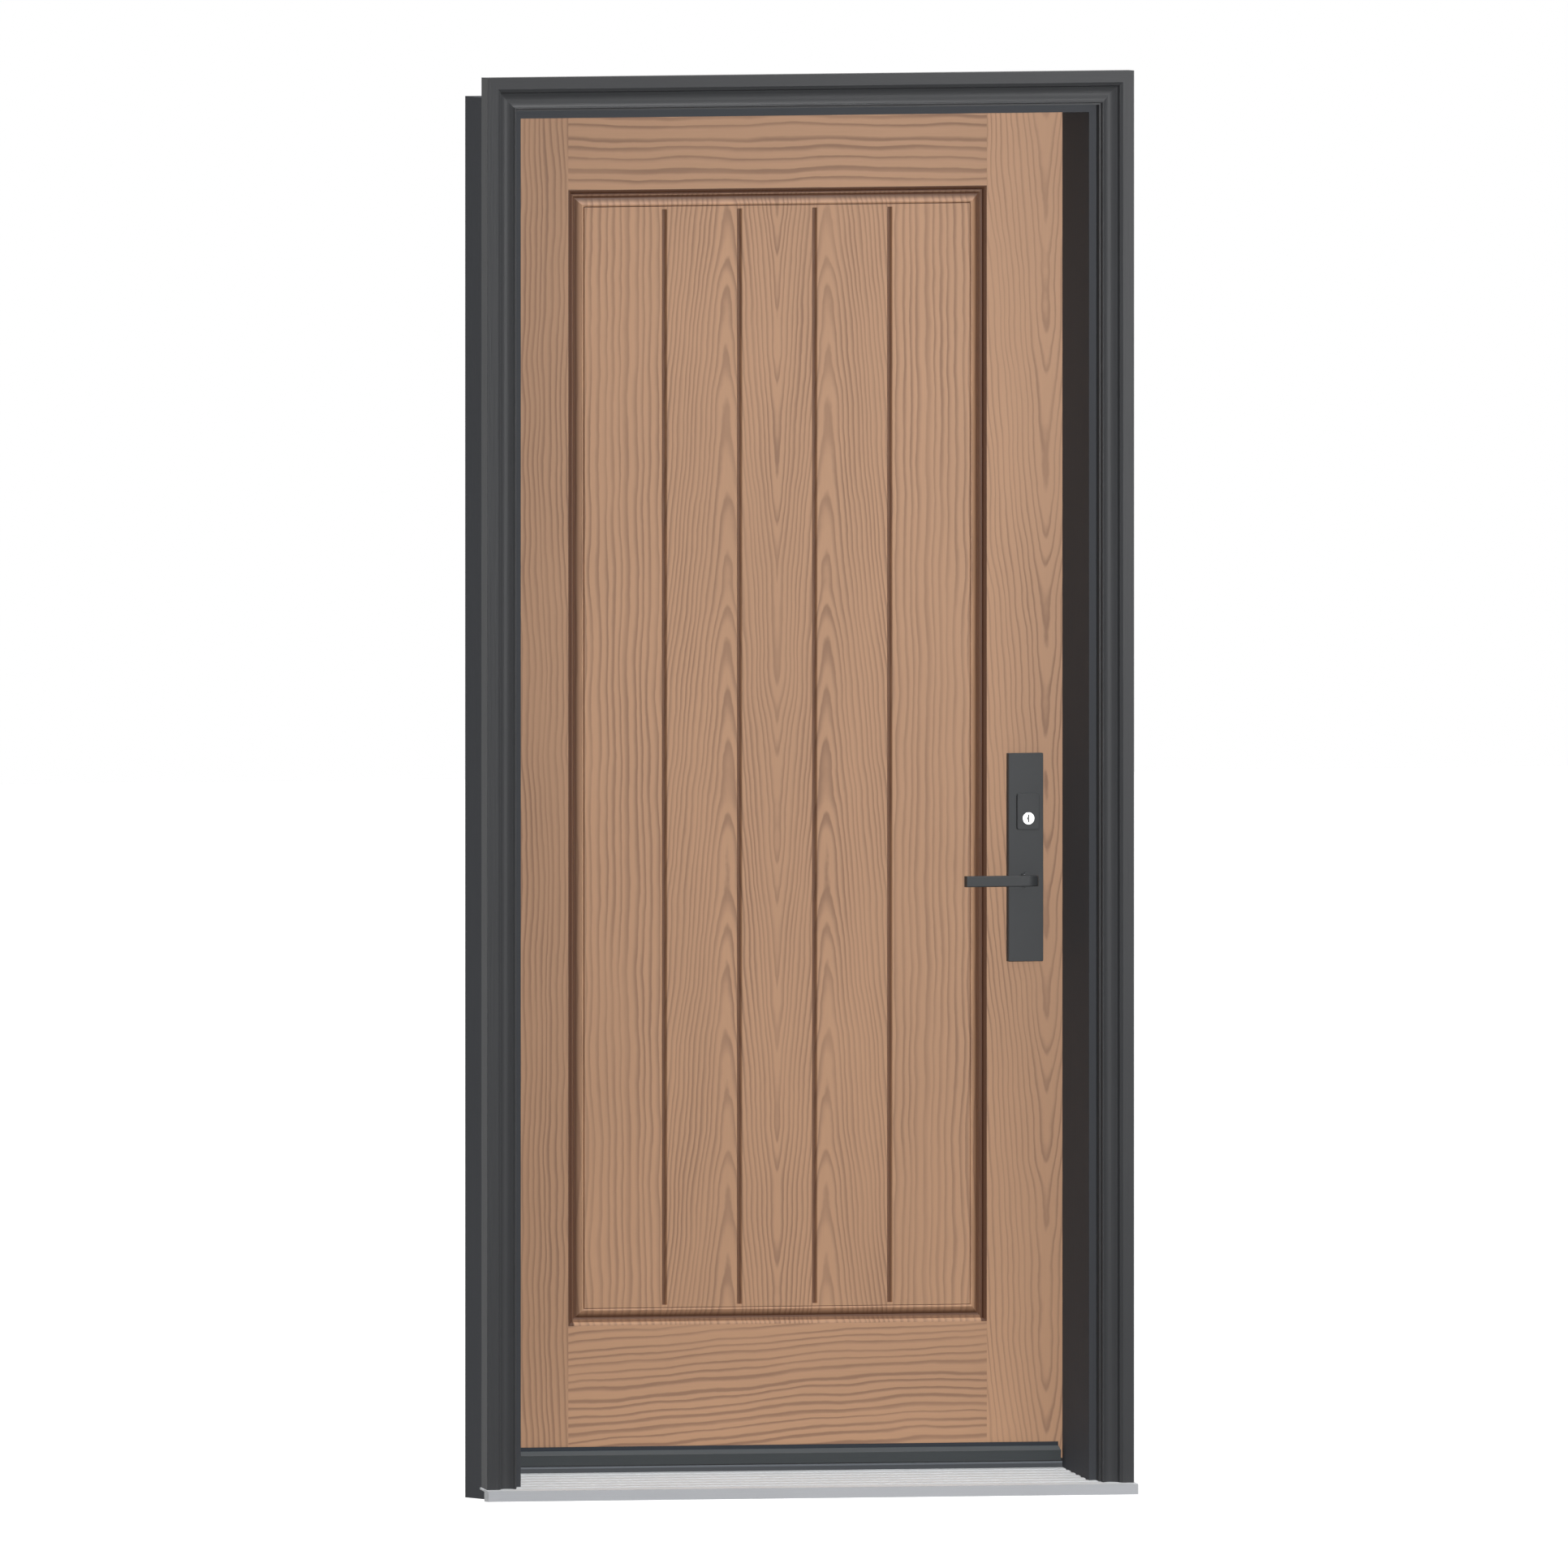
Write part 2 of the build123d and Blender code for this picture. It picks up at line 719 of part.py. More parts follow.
def assembly():
    """Every piece by the name of its node."""
    pieces = {
        "hinge_jamb": side_jamb(-1) - hinge_mortises(leaf_x(-1)),
        "strike_jamb": strike_jamb(),
        "head_jamb": head_jamb(),
        "brickmould_hinge_side": brickmould_leg(-1),
        "brickmould_strike_side": brickmould_leg(1),
        "brickmould_head": brickmould_head(),
        "sill_tread": sill_tread(),
        "sill_base": sill_base(),
        "sill_riser": sill_riser(),
        "weatherstrip_hinge_side": side_seal(-1),
        "weatherstrip_strike_side": side_seal(1),
        "weatherstrip_head": head_seal(),
        "strike_plate": strike_plate(),
        "hinge_pins": Compound([hinge_pin(z) for z in hinge_levels.values()]),
        "hinge_stile": hinge_stile(),
        "lock_stile": lock_stile(),
        "top_rail": rail((opening_top, slab_top)),
        "bottom_rail": rail((slab_bottom, opening_bottom)),
        "plank_panel": plank_panel(),
        "drip_cap": drip_cap(),
        "door_sweep": door_sweep(),
        "outside_handle_plate": handle_plate(OUTSIDE),
        "inside_handle_plate": handle_plate(INSIDE),
        "cylinder_housing": cylinder_housing(),
        "lock_faceplate": lock_faceplate(),
        "lock_bolts": Compound([bolt(z, height, width, 0) for z, height, width in bolts]),
        "outside_lever": outside_lever(),
        "inside_lever": lever(INSIDE),
        "key_plug": key_plug(),
        "thumbturn": thumbturn(),
    }
    for place, z in hinge_levels.items():
        pieces[f"frame_hinge_leaf_{place}"] = hinge_leaf(-1, z, range(0, knuckle_count, 2))
        pieces[f"door_hinge_leaf_{place}"] = hinge_leaf(1, z, range(1, knuckle_count, 2))
    for name, side in (("outside", OUTSIDE), ("inside", INSIDE)):
        for edge, moulding in panel_mouldings(side).items():
            pieces[f"{name}_moulding_{edge}"] = moulding
    return pieces


os.makedirs("parts", exist_ok=True)
for node, piece in assembly().items():
    export_step(piece, f"parts/{node}.step")
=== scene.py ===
"""Finish and lighting of the entrance door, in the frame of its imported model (metres)."""
import json
import math

import bmesh
import bpy
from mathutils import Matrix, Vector


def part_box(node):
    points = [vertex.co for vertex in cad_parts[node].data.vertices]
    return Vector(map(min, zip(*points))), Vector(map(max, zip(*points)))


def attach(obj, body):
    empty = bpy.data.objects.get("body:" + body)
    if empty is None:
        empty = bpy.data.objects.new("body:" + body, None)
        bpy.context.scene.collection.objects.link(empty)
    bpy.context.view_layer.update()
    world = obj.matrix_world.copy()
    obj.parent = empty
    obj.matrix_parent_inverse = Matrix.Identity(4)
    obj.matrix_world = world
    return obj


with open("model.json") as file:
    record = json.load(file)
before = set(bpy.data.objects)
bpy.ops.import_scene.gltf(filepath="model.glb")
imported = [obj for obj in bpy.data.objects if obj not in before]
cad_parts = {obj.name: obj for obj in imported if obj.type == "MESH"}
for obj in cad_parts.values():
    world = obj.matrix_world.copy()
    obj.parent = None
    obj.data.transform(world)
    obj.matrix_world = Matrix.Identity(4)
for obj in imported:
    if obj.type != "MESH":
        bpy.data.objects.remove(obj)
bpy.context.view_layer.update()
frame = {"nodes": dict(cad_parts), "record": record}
scene = bpy.context.scene
scene.view_settings.view_transform = "Standard"

# The photograph's view, which is parallel
VIEW_AZIMUTH = math.radians(19.3)      # towards the hinge side
VIEW_ELEVATION = math.radians(1.92)
VIEW_CENTRE = Vector((-0.0316, 0.0032, 1.0537))
VIEW_WIDTH = 2.314
VIEW_DISTANCE = 12.0

# Light: a dim sky, a softbox on the lock side, even lamps from above, the hinge side and behind, and
# softboxes for the sheen alone. Only the sky throws shadows.
SKY_LOW = 0.09
SKY_HIGH = 0.36
FRONT_PLACE = Vector((1.9, -3.3, 3.3))
FRONT_SIZE = 2.6
FRONT_POWER = 78.0
LAMPS = {                              # place that it shines from, and strength
    "above": ((0.6, -2.0, 4.9), 1.45),
    "left": ((-3.6, -2.0, 1.4), 0.50),
    "behind": ((0.5, 4.0, 2.4), 1.70),
}
SHEENS = {                             # place, size and power
    "right": ((2.35, -4.2, 1.7), 1.6, 190.0),
    "left": ((-4.6, -2.8, 1.4), 2.4, 110.0),
    "above": ((0.4, -2.4, 5.0), 2.4, 420.0),
}
LAMP_SPREAD = math.radians(20)
LIGHT_AIM = Vector((0.0, 0.1, 1.1))
FLOOR_SIZE = 60.0
FLOOR_TONE = 0.30
FLOOR_ROUGHNESS = 0.9
FLOOR_GLOW = 0.85                      # what the eye sees of the floor in full shadow

# Places that the finishes follow
slab_low, slab_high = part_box("hinge_stile")
SLAB_MIDDLE = (slab_low.y + slab_high.y) / 2
SLAB_HALF = (slab_high.y - slab_low.y) / 2
PLANK_PITCH = 0.1174
NOSE_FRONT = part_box("sill_tread")[0].y
PLUG_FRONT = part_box("key_plug")[0].y
DRIP_FLANGE_HEIGHT = 0.0057
DRIP_SLOPE_HEIGHT = 0.0067
DRIP_FLANGE_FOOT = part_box("drip_cap")[1].z - DRIP_FLANGE_HEIGHT
DRIP_SLOPE_FOOT = DRIP_FLANGE_FOOT - DRIP_SLOPE_HEIGHT
RISER_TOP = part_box("sill_riser")[1].z
PANEL_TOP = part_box("outside_moulding_top")[1].z
PANEL_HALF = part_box("outside_moulding_top")[1].x

# Painted shade round the panel, in its hollows and along its top and side edges (not the lower one): its
# widths, its soft edge, and the depths where it starts and is full
SHADE_BESIDE = 0.0105
SHADE_OVER = 0.0095
SHADE_EDGE = 0.0030
SHADE_DEPTHS = (0.0022, 0.0085)

# Screws
SCREW_RADIUS = 0.0042
SCREW_RISE = 0.0004
SCREW_SINK = 0.0010
SCREW_SIDES = 32
SCREW_RIM = 0.4                        # share of the rise that is upright
SCREW_TOP = 0.86                       # shares of the radius: flat top, cross recess and its floor
CROSS_HALF_WIDTH = 0.15
CROSS_REACH = 0.55
CROSS_FLOOR = 0.8
HINGE_HOLES = ((0.009, -0.038), (0.024, -0.013), (0.009, 0.013), (0.024, 0.038))
PLATE_HOLE_INSET = 0.009
HANDLE_HOLE_INSET = 0.016


def srgb(red, green, blue):
    """Linear colour of a screen colour from 0 to 255."""
    return tuple(((c / 255 + 0.055) / 1.055) ** 2.4 for c in (red, green, blue)) + (1.0,)


class Value:
    """A number that varies over a surface, so that a formula reads as one."""

    def __init__(self, finish, socket):
        self.finish = finish
        self.socket = socket

    def math(self, operation, *others):
        """Result of a math node on this number and others."""
        node = self.finish.node("ShaderNodeMath")
        node.operation = operation
        for index, term in enumerate((self,) + others):
            self.finish.feed(node.inputs[index], term)
        return Value(self.finish, node.outputs[0])

    def __add__(self, other):
        return self.math("ADD", other)

    def __sub__(self, other):
        return self.math("SUBTRACT", other)

    def __mul__(self, other):
        return self.math("MULTIPLY", other)

    def __truediv__(self, other):
        return self.math("DIVIDE", other)

    def squared(self):
        """This number times itself."""
        return self.math("MULTIPLY", self)

    def root(self):
        """Square root."""
        return self.math("SQRT")

    def size(self):
        """Number without its sign."""
        return self.math("ABSOLUTE")

    def fraction(self):
        """What is left over the whole number below."""
        return self.math("FRACT")

    def most(self, other):
        """The greater of this and another number."""
        return self.math("MAXIMUM", other)

    def over(self, edge):
        """One where this is over the edge, and nought elsewhere."""
        return self.math("GREATER_THAN", edge)

    def step(self, low, high):
        """Smooth climb from nought at low to one at high."""
        node = self.finish.node("ShaderNodeMapRange")
        node.interpolation_type = "SMOOTHSTEP"
        self.finish.feed(node.inputs["Value"], self)
        node.inputs["From Min"].default_value = low
        node.inputs["From Max"].default_value = high
        return Value(self.finish, node.outputs["Result"])


class Finish:
    """One procedural material, with formulas over the object's own coordinates."""

    def __init__(self, name):
        self.material = bpy.data.materials.new(name)
        self.material.use_nodes = True
        self.tree = self.material.node_tree
        self.shader = self.tree.nodes["Principled BSDF"]
        place = self.node("ShaderNodeTexCoord").outputs["Object"]
        axes = self.node("ShaderNodeSeparateXYZ")
        self.tree.links.new(place, axes.inputs[0])
        self.x, self.y, self.z = (Value(self, axes.outputs[axis]) for axis in "XYZ")

    def node(self, kind):
        """New node of this material."""
        return self.tree.nodes.new(kind)

    def feed(self, socket, term):
        """Gives a socket a varying number, another socket or a constant."""
        if isinstance(term, Value):
            term = term.socket
        if isinstance(term, bpy.types.NodeSocket):
            self.tree.links.new(term, socket)
        else:
            socket.default_value = term

    def set(self, **settings):
        """Settings of the shader, with underscores for the spaces in their names."""
        for name, term in settings.items():
            self.feed(self.shader.inputs[name.replace("_", " ")], term)

    def noise(self, u, v, w=0.0, detail=2.0):
        """Noise from about 0 to 1, over coordinates already scaled."""
        place = self.node("ShaderNodeCombineXYZ")
        for index, term in enumerate((u, v, w)):
            self.feed(place.inputs[index], term)
        node = self.node("ShaderNodeTexNoise")
        self.tree.links.new(place.outputs[0], node.inputs["Vector"])
        node.inputs["Scale"].default_value = 1.0
        node.inputs["Detail"].default_value = detail
        return Value(self, node.outputs["Fac"])

    def mix(self, share, first, second):
        """Colour between two others."""
        node = self.node("ShaderNodeMix")
        node.data_type = "RGBA"
        self.feed(node.inputs[0], share)
        colours = [socket for socket in node.inputs if socket.type == "RGBA"]
        self.feed(colours[0], first)
        self.feed(colours[1], second)
        return [socket for socket in node.outputs if socket.type == "RGBA"][0]

    def shade(self, colour, level):
        """Colour made lighter or darker by a varying level."""
        node = self.node("ShaderNodeHueSaturation")
        self.feed(node.inputs["Color"], colour)
        self.feed(node.inputs["Value"], level)
        return node.outputs["Color"]

    def bump(self, height, distance):
        """Fine relief of the surface."""
        node = self.node("ShaderNodeBump")
        node.inputs["Distance"].default_value = distance
        self.feed(node.inputs["Height"], height)
        self.set(Normal=node.outputs["Normal"])


WOOD_LIGHT = srgb(191, 149, 117)
WOOD_LINE = srgb(157, 121, 97)
WOOD_PAINTED_SHADE = srgb(92, 60, 42)
LINE_PEAK = 0.80                       # where in a growth ring its line is darkest
EDGE_DRIFT = 0.7                       # how far the figure shifts across for each metre through a board


def wood(name, across, along, rings, early=0.25, level=1.0, depth=1.0, recessed=False):
    """Stained wood. rings gives the growth rings, and a line fills each from early to its end.

    The line is as dark as depth, and the whole board as light as level.
    """
    finish = Finish(name)
    a, l = getattr(finish, across), getattr(finish, along)
    if not recessed:
        a = a + (finish.y - slab_low.y) * EDGE_DRIFT
    phase = rings(finish, a, l).fraction()
    line = phase.step(early, LINE_PEAK) - phase.step(LINE_PEAK, 1.0)
    line = line * (finish.noise(a * 20.0, l * 3.2, finish.y * 3.0) * (1.5 * depth))
    pores = finish.noise(a * 700.0, l * 22.0, finish.y * 700.0, 3.0)
    cloud = finish.noise(a * 7.0, l * 2.2, finish.y * 7.0)
    colour = finish.mix(line, WOOD_LIGHT, WOOD_LINE)
    colour = finish.shade(colour, pores * 0.10 + cloud * 0.16 + (level - 0.13))
    if recessed:
        # Painted shade: darker brown in the panel's hollows and along its top and side edges
        colour = finish.mix(painted_shade_mask(finish), colour, WOOD_PAINTED_SHADE)
    finish.set(Base_Color=colour, Roughness=line * 0.08 + 0.46, Specular_IOR_Level=0.13)
    finish.bump(pores * 0.5 - line, 0.00008)
    return finish.material


def painted_shade_mask(finish):
    """Painted shade in the grooves, in the mouldings' hollows and along their top and side outer edges; the
    lower edge, which the light from above reaches, is left out.
    """
    depth = (finish.y - SLAB_MIDDLE).size() * -1.0 + SLAB_HALF
    beside = (finish.x.size() - (PANEL_HALF - SHADE_BESIDE)).step(0.0, SHADE_EDGE)
    over = (finish.z - (PANEL_TOP - SHADE_OVER)).step(0.0, SHADE_EDGE)
    return depth.step(*SHADE_DEPTHS).most(beside).most(over)


def grain(finish, a, l, wander):
    """Sideways drift of the grain: long waves, swells and a short ripple."""
    wave = finish.noise(a * 2.0, l * 1.7) - 0.5
    swell = finish.noise(a * 13.0, l * 7.0, 2.0, 1.0) - 0.5
    ripple = finish.noise(a * 70.0, l * 34.0, 5.0) - 0.5
    return wave * wander + swell * 0.016 + ripple * 0.0026


def board(heart, blunt, slope, pitch, wander):
    """Rings of a board: a V along its heart, blunt at the tip, leaning by the slope."""
    def rings(finish, a, l):
        radius = ((a - heart).squared() + blunt * blunt).root() + l * slope
        radius = radius + grain(finish, a, l, wander)
        return radius / pitch + finish.noise(radius * 40.0, 0.0) * 1.5
    return rings


def planks(finish, a, l):
    """Rings of the panel: a long V in the middle plank, arches beside it, straight outer planks."""
    reach = a.size()
    beside = reach.over(PLANK_PITCH / 2)
    outer = reach.over(PLANK_PITCH * 1.5)
    heart = beside * 0.078 + outer * 0.300
    blunt = beside * 0.00016 + 0.00002
    slope = beside * 0.165 - outer * 0.090 - 0.075
    radius = ((reach - heart).squared() + blunt).root() + l * slope
    radius = radius + grain(finish, reach + beside * 3.0 + outer * 4.0, l, 0.020)
    pitch = outer * 0.0040 + 0.0074
    return radius / pitch + finish.noise(radius * 40.0, 0.0) * 1.6


def paint(name, colour, along, gloss, specular):
    """Paint with the faint drag of the grain under it."""
    finish = Finish(name)
    scale = {axis: 420.0 for axis in "xyz"}
    scale[along] = 9.0
    drag = finish.noise(finish.x * scale["x"], finish.y * scale["y"], finish.z * scale["z"], 3.0)
    cloud = finish.noise(finish.x * 5.0, finish.y * 5.0, finish.z * 5.0)
    finish.set(
        Base_Color=finish.shade(colour, drag * 0.12 + cloud * 0.10 + 0.89),
        Roughness=drag * 0.08 + gloss, Specular_IOR_Level=specular,
    )
    finish.bump(drag, 0.0002)
    return finish.material


def powder_coat(name, colour):
    """Dark coating of the handle set, with a fine orange peel."""
    finish = Finish(name)
    peel = finish.noise(finish.x * 1500.0, finish.y * 1500.0, finish.z * 1500.0, 2.0)
    cloud = finish.noise(finish.x * 30.0, finish.y * 30.0, finish.z * 30.0)
    finish.set(
        Base_Color=finish.shade(colour, peel * 0.10 + cloud * 0.08 + 0.91),
        Roughness=peel * 0.10 + 0.40, Specular_IOR_Level=0.14,
    )
    finish.bump(peel, 0.00012)
    return finish.material


def metal(name, colour, along, roughness, metallic):
    """Bare metal with fine lines along one axis."""
    finish = Finish(name)
    scale = {axis: 2600.0 for axis in "xyz"}
    scale[along] = 14.0
    lines = finish.noise(finish.x * scale["x"], finish.y * scale["y"], finish.z * scale["z"], 3.0)
    cloud = finish.noise(finish.x * 7.0, finish.y * 7.0, finish.z * 7.0)
    finish.set(
        Base_Color=finish.shade(colour, lines * 0.14 + cloud * 0.08 + 0.89),
        Metallic=metallic, Roughness=lines * 0.16 + roughness,
    )
    finish.bump(lines, 0.00008)
    return finish.material


def sill_metal(name, tread, nose):
    """Aluminium of the sill, with painted shade on its nose: the front face is darker than the up-facing
    tread.
    """
    finish = Finish(name)
    lines = finish.noise(finish.x * 14.0, finish.y * 2600.0, finish.z * 2600.0, 3.0)
    cloud = finish.noise(finish.x * 7.0, finish.y * 7.0, finish.z * 7.0)
    # Painted shade: the nose's front face is given a darker colour than the up-facing tread
    colour = finish.mix(finish.y.step(NOSE_FRONT, NOSE_FRONT + 0.004), nose, tread)
    finish.set(
        Base_Color=finish.shade(colour, lines * 0.14 + cloud * 0.08 + 0.89),
        Metallic=0.12, Roughness=lines * 0.16 + 0.50, Specular_IOR_Level=0.3,
    )
    finish.bump(lines, 0.00008)
    return finish.material


def riser_paint(name, colour, edge):
    """Dark riser with a painted highlight along its top: a lighter band where its top edge catches the light.
    """
    finish = Finish(name)
    drag = finish.noise(finish.x * 9.0, finish.y * 420.0, finish.z * 420.0, 3.0)
    # Painted highlight: a lighter band along the riser's top edge
    colour = finish.mix(finish.z.step(RISER_TOP - 0.0026, RISER_TOP - 0.0022), colour, edge)
    finish.set(Base_Color=finish.shade(colour, drag * 0.16 + 0.92), Roughness=drag * 0.1 + 0.45)
    finish.bump(drag, 0.0001)
    return finish.material


def drip_paint(name, face, slope, flange):
    """Coating of the drip cap, with painted shade up its flange under the slab and painted light on its
    up-facing slope.
    """
    finish = Finish(name)
    drag = finish.noise(finish.x * 9.0, finish.y * 420.0, finish.z * 420.0, 3.0)
    # Painted light on the up-facing slope, and painted shade on the flange tucked under the slab
    colour = finish.mix(finish.z.step(DRIP_SLOPE_FOOT, DRIP_SLOPE_FOOT + 0.0004), face, slope)
    colour = finish.mix(finish.z.step(DRIP_FLANGE_FOOT - 0.0004, DRIP_FLANGE_FOOT), colour, flange)
    finish.set(
        Base_Color=finish.shade(colour, drag * 0.12 + 0.94), Roughness=drag * 0.1 + 0.5,
        Specular_IOR_Level=0.12,
    )
    finish.bump(drag, 0.0001)
    return finish.material


def plug_steel(name, colour):
    """Bright key plug, with painted shade down in its keyway."""
    finish = Finish(name)
    turned = finish.noise(finish.x * 900.0, finish.y * 60.0, finish.z * 900.0, 3.0)
    # Painted shade: black down in the keyway, past a little depth behind the plug's front
    colour = finish.mix((finish.y - PLUG_FRONT).step(0.0003, 0.0008), colour, srgb(14, 14, 15))
    finish.set(
        Base_Color=finish.shade(colour, turned * 0.1 + 0.95), Metallic=0.55, Roughness=turned * 0.12 + 0.30,
        Specular_IOR_Level=0.2,
    )
    finish.bump(turned, 0.00004)
    return finish.material


def rubber(name, colour):
    """Soft black seal."""
    finish = Finish(name)
    fleck = finish.noise(finish.x * 900.0, finish.y * 900.0, finish.z * 900.0)
    finish.set(
        Base_Color=finish.shade(colour, fleck * 0.3 + 0.85),
        Roughness=fleck * 0.15 + 0.65, Specular_IOR_Level=0.2,
    )
    finish.bump(fleck, 0.0001)
    return finish.material


JAMB_GREY = srgb(68, 70, 74)
MOULD_GREY = srgb(61, 62, 64)
finishes = {
    "hinge_stile": wood(
        "hinge_stile_wood", "x", "z", board(heart=-0.49, blunt=0.010, slope=0.010, pitch=0.0085, wander=0.050),
        early=0.30, level=0.885, depth=1.05,
    ),
    "lock_stile": wood(
        "lock_stile_wood", "x", "z", board(heart=0.420, blunt=0.010, slope=-0.075, pitch=0.0085, wander=0.060),
        early=0.42, level=0.99, depth=0.95,
    ),
    "top_rail": wood(
        "top_rail_wood", "z", "x", board(heart=1.86, blunt=0.002, slope=0.012, pitch=0.0160, wander=0.030),
        early=0.45, level=0.92, depth=1.2,
    ),
    "bottom_rail": wood(
        "bottom_rail_wood", "z", "x", board(heart=0.02, blunt=0.002, slope=-0.050, pitch=0.0120, wander=0.034),
        early=0.40, level=0.99, depth=1.3,
    ),
    # The panel's wood carries painted shade in its hollows and along its top and side edges
    "panel": wood("plank_wood", "x", "z", planks, recessed=True),
    "jamb_paint": paint("jamb_paint", JAMB_GREY, "z", 0.60, 0.06),
    "head_jamb_paint": paint("head_jamb_paint", JAMB_GREY, "x", 0.60, 0.06),
    "mould_paint": paint("brickmould_paint", MOULD_GREY, "z", 0.38, 0.11),
    "head_mould_paint": paint("head_brickmould_paint", MOULD_GREY, "x", 0.38, 0.11),
    "composite": paint("sill_composite", srgb(66, 70, 74), "x", 0.50, 0.25),
    "hardware": powder_coat("handle_coating", srgb(59, 61, 63)),
    # The aluminium's second colour is painted shade on the sill's nose
    "aluminium": sill_metal("mill_aluminium", srgb(198, 200, 202), srgb(173, 175, 179)),
    # The drip cap's slope colour is painted light, and its flange colour is painted shade
    "drip": drip_paint("drip_cap_coating", srgb(59, 63, 65), srgb(82, 87, 90), srgb(46, 51, 58)),
    # The key plug's keyway is painted black as shade
    "plug": plug_steel("key_plug_steel", srgb(196, 198, 198)),
    # The riser's second colour is a painted highlight along its top edge
    "riser": riser_paint("riser_composite", srgb(44, 49, 56), srgb(90, 96, 103)),
    "steel": metal("satin_steel", srgb(176, 176, 174), "z", 0.30, 1.0),
    "seal": rubber("seal_rubber", srgb(34, 34, 35)),
}

FINISH_OF_SLOT = {
    "frame_paint": "jamb_paint", "mill_aluminium": "aluminium", "dark_composite": "composite",
    "seal_rubber": "seal", "dark_hardware": "hardware", "satin_steel": "steel", "stained_wood": "panel",
}
FINISH_OF_NODE = {
    "hinge_stile": "hinge_stile", "lock_stile": "lock_stile", "top_rail": "top_rail",
    "bottom_rail": "bottom_rail", "head_jamb": "head_jamb_paint",
    "brickmould_hinge_side": "mould_paint", "brickmould_strike_side": "mould_paint",
    "brickmould_head": "head_mould_paint", "sill_riser": "riser",
    "drip_cap": "drip", "key_plug": "plug",
}


def dress_nodes():
    """Gives every node of the frame its finish."""
    for part in frame["record"]["subparts"]:
        node = part["node"]
        finish = FINISH_OF_NODE.get(node, FINISH_OF_SLOT[part["material_slot"]])
        mesh = frame["nodes"][node].data
        mesh.materials.clear()
        mesh.materials.append(finishes[finish])


def add_screw(build, middle, out):
    """Round head with a cross recess, sunk in what it holds and a little proud of it."""
    place = out.to_track_quat("Z", "Y").to_matrix().to_4x4()
    place.translation = middle
    turns = [math.tau * step / SCREW_SIDES for step in range(SCREW_SIDES)]
    circle = [(math.cos(turn), math.sin(turn)) for turn in turns]
    wide, reach = CROSS_HALF_WIDTH, CROSS_REACH
    arm = [(wide, reach), (-wide, reach), (-wide, wide)]
    cross = arm + [(-y, x) for x, y in arm] + [(-x, -y) for x, y in arm] + [(y, -x) for x, y in arm]

    def ring(points, scale, height):
        size = SCREW_RADIUS * scale
        return [build.verts.new(place @ Vector((x * size, y * size, height))) for x, y in points]

    def wall(low, high):
        for index in range(len(low)):
            build.faces.new((low[index - 1], low[index], high[index], high[index - 1]))

    foot, rim = ring(circle, 1.0, -SCREW_SINK), ring(circle, 1.0, SCREW_RISE * SCREW_RIM)
    top, mouth = ring(circle, SCREW_TOP, SCREW_RISE), ring(cross, 1.0, SCREW_RISE)
    floor = ring(cross, CROSS_FLOOR, -SCREW_SINK / 2)
    wall(foot, rim)
    wall(rim, top)
    wall(mouth, floor)
    build.faces.new(foot)
    build.faces.new(floor)
    loops = [build.edges.get((ends[i - 1], ends[i])) for ends in (top, mouth) for i in range(len(ends))]
    bmesh.ops.triangle_fill(build, edges=loops, use_beauty=True)


def add_screws(name, body, slot, out, middles):
    """Screws of one fitting as a piece that rides on a body."""
    build = bmesh.new()
    for middle in middles:
        add_screw(build, Vector(middle), Vector(out))
    bmesh.ops.recalc_face_normals(build, faces=build.faces)
    mesh = bpy.data.meshes.new(name)
    build.to_mesh(mesh)
    build.free()
    mesh.materials.append(finishes[FINISH_OF_SLOT[slot]])
    piece = bpy.data.objects.new(name, mesh)
    scene.collection.objects.link(piece)
    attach(piece, body)


def add_fasteners():
    """Screws of the hinges, the lock's plates and the inside handle plate."""
    slab_edge, jamb_face = slab_low.x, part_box("sill_riser")[0].x
    for level in ("top", "middle", "bottom"):
        low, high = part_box("door_hinge_leaf_" + level)
        middle = (low.z + high.z) / 2
        holes = [(low.y + inset, middle + rise) for inset, rise in HINGE_HOLES]
        add_screws("door_hinge_screws_" + level, "door", "satin_steel", (-1, 0, 0),
                   [(slab_edge, y, z) for y, z in holes])
        add_screws("frame_hinge_screws_" + level, "frame", "satin_steel", (1, 0, 0),
                   [(jamb_face, y, z) for y, z in holes])
    low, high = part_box("strike_plate")
    ends = (low.z + PLATE_HOLE_INSET, high.z - PLATE_HOLE_INSET)
    add_screws("strike_screws", "frame", "satin_steel", (-1, 0, 0), [(low.x, SLAB_MIDDLE, z) for z in ends])
    low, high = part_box("lock_faceplate")
    add_screws("faceplate_screws", "door", "satin_steel", (1, 0, 0), [(high.x, SLAB_MIDDLE, z) for z in ends])
    low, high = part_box("inside_handle_plate")
    ends = (low.z + HANDLE_HOLE_INSET, high.z - HANDLE_HOLE_INSET)
    add_screws("handle_plate_screws", "door", "dark_hardware", (0, 1, 0),
               [((low.x + high.x) / 2, high.y, z) for z in ends])


def add_camera():
    """Camera at the photograph's angle and framing."""
    data = bpy.data.cameras.new("view")
    data.type = "ORTHO"
    data.ortho_scale = VIEW_WIDTH
    camera = bpy.data.objects.new("view", data)
    scene.collection.objects.link(camera)
    forward = Vector((
        math.sin(VIEW_AZIMUTH) * math.cos(VIEW_ELEVATION),
        math.cos(VIEW_AZIMUTH) * math.cos(VIEW_ELEVATION),
        -math.sin(VIEW_ELEVATION),
    ))
    camera.location = VIEW_CENTRE - forward * VIEW_DISTANCE
    camera.rotation_mode = "QUATERNION"
    camera.rotation_quaternion = forward.to_track_quat("-Z", "Y")
    scene.camera = camera


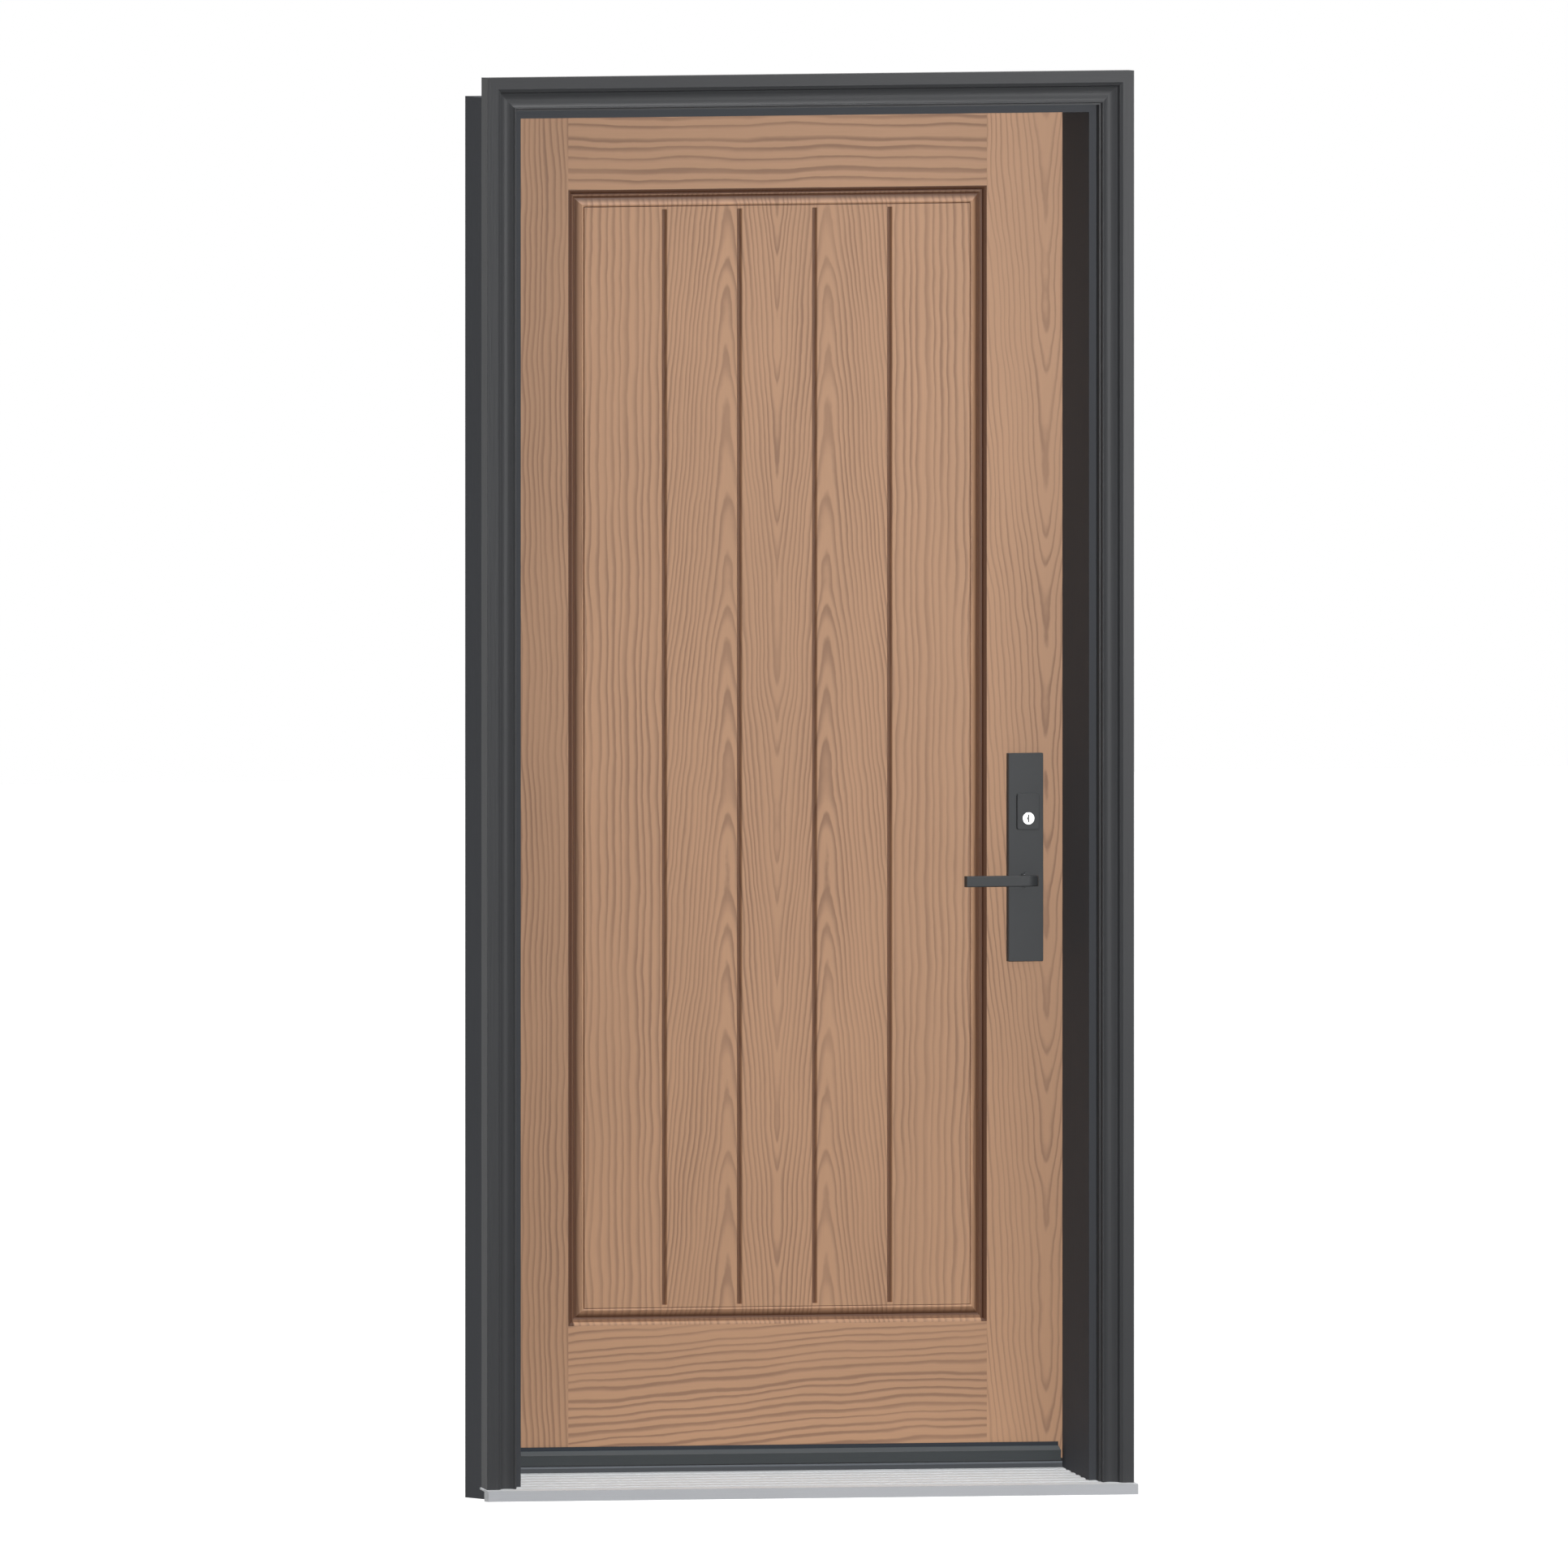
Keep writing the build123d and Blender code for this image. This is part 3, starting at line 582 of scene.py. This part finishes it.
def seen_rays(tree):
    """Socket that is one for rays from the camera, or from a mirror or glass."""
    path = tree.nodes.new("ShaderNodeLightPath")
    socket = path.outputs["Is Camera Ray"]
    for name in ("Is Glossy Ray", "Is Transmission Ray"):
        either = tree.nodes.new("ShaderNodeMath")
        either.operation = "MAXIMUM"
        tree.links.new(socket, either.inputs[0])
        tree.links.new(path.outputs[name], either.inputs[1])
        socket = either.outputs[0]
    return socket


def add_world():
    """White surroundings to the eye, and a soft sky at a plain level."""
    world = bpy.data.worlds.new("studio")
    world.use_nodes = True
    scene.world = world
    tree = world.node_tree
    background = tree.nodes["Background"]
    background.inputs["Color"].default_value = (1.0, 1.0, 1.0, 1.0)
    axes = tree.nodes.new("ShaderNodeSeparateXYZ")
    tree.links.new(tree.nodes.new("ShaderNodeTexCoord").outputs["Generated"], axes.inputs[0])
    sky = tree.nodes.new("ShaderNodeMapRange")
    sky.inputs["To Min"].default_value = SKY_LOW
    sky.inputs["To Max"].default_value = SKY_HIGH
    tree.links.new(axes.outputs["Z"], sky.inputs["Value"])
    strength = tree.nodes.new("ShaderNodeMapRange")
    strength.inputs["To Max"].default_value = 1.0
    tree.links.new(seen_rays(tree), strength.inputs["Value"])
    tree.links.new(sky.outputs["Result"], strength.inputs["To Min"])
    tree.links.new(strength.outputs["Result"], background.inputs["Strength"])


def add_light(data, place):
    """Light that faces the door and throws no shadows, and is sampled so that none are left in part."""
    data.use_shadow = False
    data.cycles.use_multiple_importance_sampling = False
    light = bpy.data.objects.new(data.name, data)
    scene.collection.objects.link(light)
    light.location = place
    light.rotation_mode = "QUATERNION"
    light.rotation_quaternion = (LIGHT_AIM - place).to_track_quat("-Z", "Y")
    return light


def add_softbox(name, place, size, power):
    """Square light."""
    data = bpy.data.lights.new(name, "AREA")
    data.shape = "SQUARE"
    data.size = size
    data.energy = power
    return add_light(data, place)


def add_lamp(name, place, strength):
    """Light that is even all over the door."""
    data = bpy.data.lights.new(name, "SUN")
    data.energy = strength
    data.angle = LAMP_SPREAD
    return add_light(data, place)


def add_floor():
    """Pale floor that keeps a faint shadow."""
    half = FLOOR_SIZE / 2
    mesh = bpy.data.meshes.new("floor")
    corners = [(-half, -half, 0), (half, -half, 0), (half, half, 0), (-half, half, 0)]
    mesh.from_pydata(corners, [], [(0, 1, 2, 3)])
    floor = bpy.data.objects.new("floor", mesh)
    scene.collection.objects.link(floor)
    material = bpy.data.materials.new("floor")
    material.use_nodes = True
    tree = material.node_tree
    shader = tree.nodes["Principled BSDF"]
    shader.inputs["Base Color"].default_value = (FLOOR_TONE, FLOOR_TONE, FLOOR_TONE, 1.0)
    shader.inputs["Roughness"].default_value = FLOOR_ROUGHNESS
    shader.inputs["Emission Color"].default_value = (1.0, 1.0, 1.0, 1.0)
    glow = tree.nodes.new("ShaderNodeMath")
    glow.operation = "MULTIPLY"
    glow.inputs[1].default_value = FLOOR_GLOW
    tree.links.new(seen_rays(tree), glow.inputs[0])
    tree.links.new(glow.outputs[0], shader.inputs["Emission Strength"])
    mesh.materials.append(material)


dress_nodes()
add_fasteners()
add_camera()
add_world()
add_softbox("front", FRONT_PLACE, FRONT_SIZE, FRONT_POWER).visible_glossy = False
for name, (place, size, power) in SHEENS.items():
    add_softbox("sheen_" + name, Vector(place), size, power).visible_diffuse = False
for name, (place, strength) in LAMPS.items():
    add_lamp("lamp_" + name, Vector(place), strength).visible_glossy = False
add_floor()
